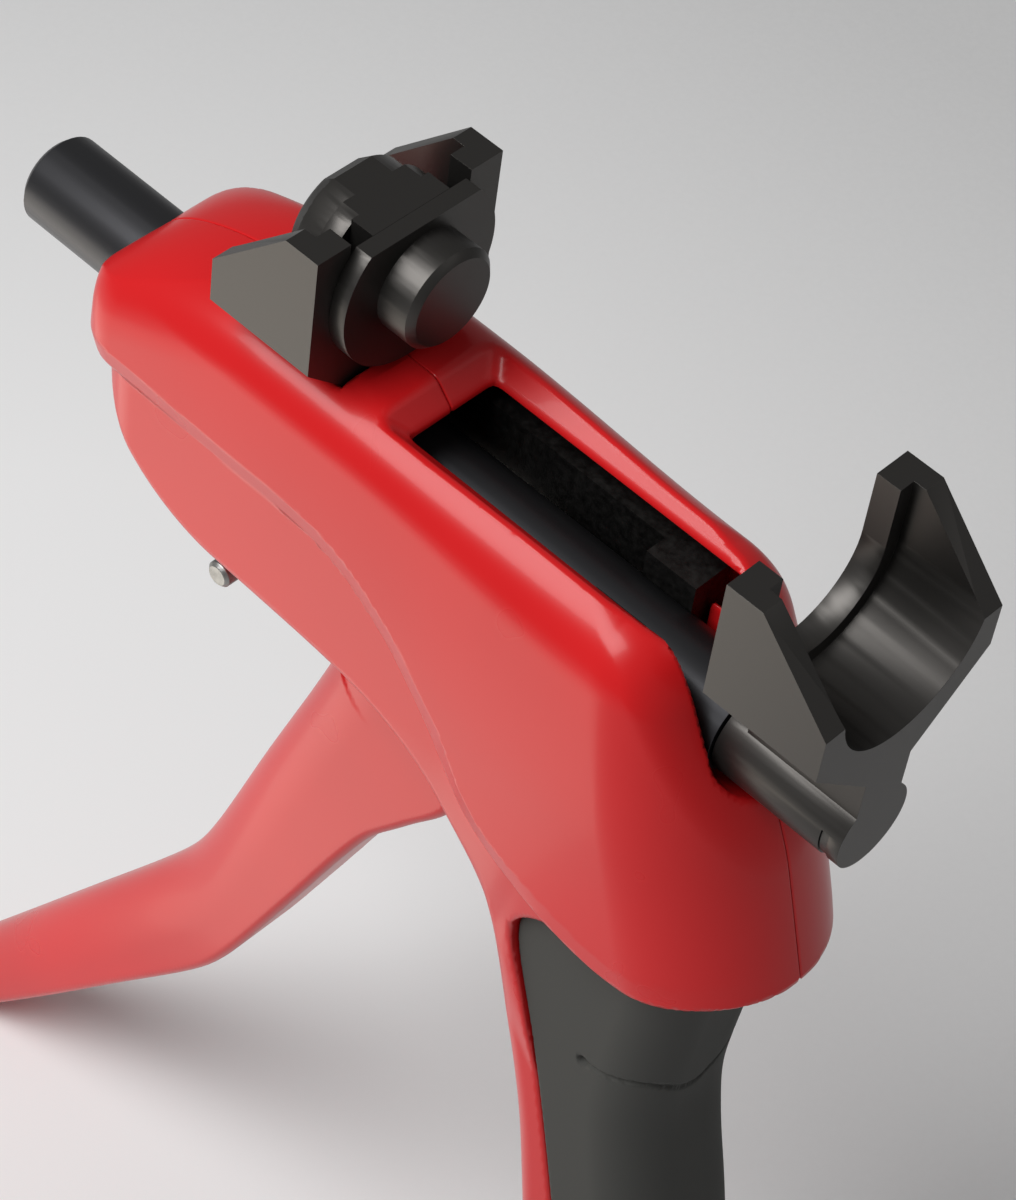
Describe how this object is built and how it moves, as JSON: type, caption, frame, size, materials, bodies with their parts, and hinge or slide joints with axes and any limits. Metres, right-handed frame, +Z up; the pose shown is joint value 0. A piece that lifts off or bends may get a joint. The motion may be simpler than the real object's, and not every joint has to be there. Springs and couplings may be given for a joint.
{
  "type": "axial press tool",
  "caption": "Hand lever press tool: a fork jaw on a ratcheting rod is pulled towards a fixed fork jaw with a spool insert, on a red split housing with a rubber grip",
  "frame": {"origin": "on the press axis where the boss of the insert leaves its flange", "axes": "+X along the press axis from the fixed jaw to the moving jaw, +Z up away from the grip, the housing seam lies in the plane Y = 0"},
  "size_m": [0.2194, 0.043, 0.3077],
  "materials": {
    "red_paint": "gloss red coat with light wear on the edges",
    "black_oxide": "black oxide, brighter on worn edges",
    "dark_rod": "blackened ground bar",
    "grip_rubber": "charcoal rubber, fine grain",
    "bare_steel": "bare machined steel",
    "bronze": "sintered bronze",
    "seal": "black nitrile",
    "zinc": "zinc plated"
  },
  "bodies": {
    "housing": {"right_shell": "red_paint", "left_shell": "red_paint", "shell_screws": "zinc", "grip_sleeve": "grip_rubber", "chassis": "bare_steel", "front_bush": "bronze", "rear_bush": "bronze", "rod_wiper": "seal", "fixed_jaw": "black_oxide", "jaw_insert": "black_oxide", "jaw_screws": "bare_steel", "lever_pin": "bare_steel", "lever_circlips": "bare_steel", "lever_spring": "bare_steel", "holding_pawl_pin": "bare_steel", "holding_pawl_spring": "bare_steel"},
    "carriage": {"press_rod": "dark_rod", "moving_jaw": "black_oxide", "jaw_clip": "bare_steel"},
    "lever": {"lever": "red_paint", "lever_arm": "bare_steel", "lever_rivets": "bare_steel", "lever_bush": "bronze", "drive_pawl_pin": "bare_steel", "drive_pawl_spring": "bare_steel"},
    "drive_pawl": {"drive_pawl": "bare_steel"},
    "holding_pawl": {"holding_pawl": "bare_steel"},
    "release": {"release_stem": "zinc", "release_bar": "zinc", "release_head": "bare_steel"}
  },
  "joints": [
    {"name": "jaw_slide", "type": "slide", "parent": "housing", "child": "carriage", "axis": [-1, 0, 0], "range_m": [0, 0.055]},
    {"name": "lever_squeeze", "type": "hinge", "parent": "housing", "child": "lever", "pos_m": [0.02, 0, -0.065], "axis": [0, -1, 0], "range_deg": [0, 28], "stiffness_Nm_per_rad": 1.5, "springref_deg": -34.38, "deforming": ["lever_spring"]},
    {"name": "drive_pawl_turn", "type": "hinge", "parent": "lever", "child": "drive_pawl", "pos_m": [0.02302, 0, -0.05287], "axis": [0, -1, 0], "range_deg": [-28, 0], "deforming": ["drive_pawl_spring"]},
    {"name": "release_pull", "type": "slide", "parent": "housing", "child": "release", "axis": [0, 0, -1], "range_m": [0, 0.005], "stiffness_N_per_m": 400, "springref_m": -0.004, "deforming": ["holding_pawl_spring"]},
    {"name": "holding_pawl_turn", "type": "hinge", "parent": "housing", "child": "holding_pawl", "pos_m": [-0.013, 0, -0.056], "axis": [0, -1, 0], "range_deg": [0, 18.5]}
  ],
  "couplings": [
    {"joint": "drive_pawl_turn", "follows": "lever_squeeze", "ratio": -1},
    {"joint": "holding_pawl_turn", "follows": "release_pull", "rad_per_m": 62.832}
  ]
}
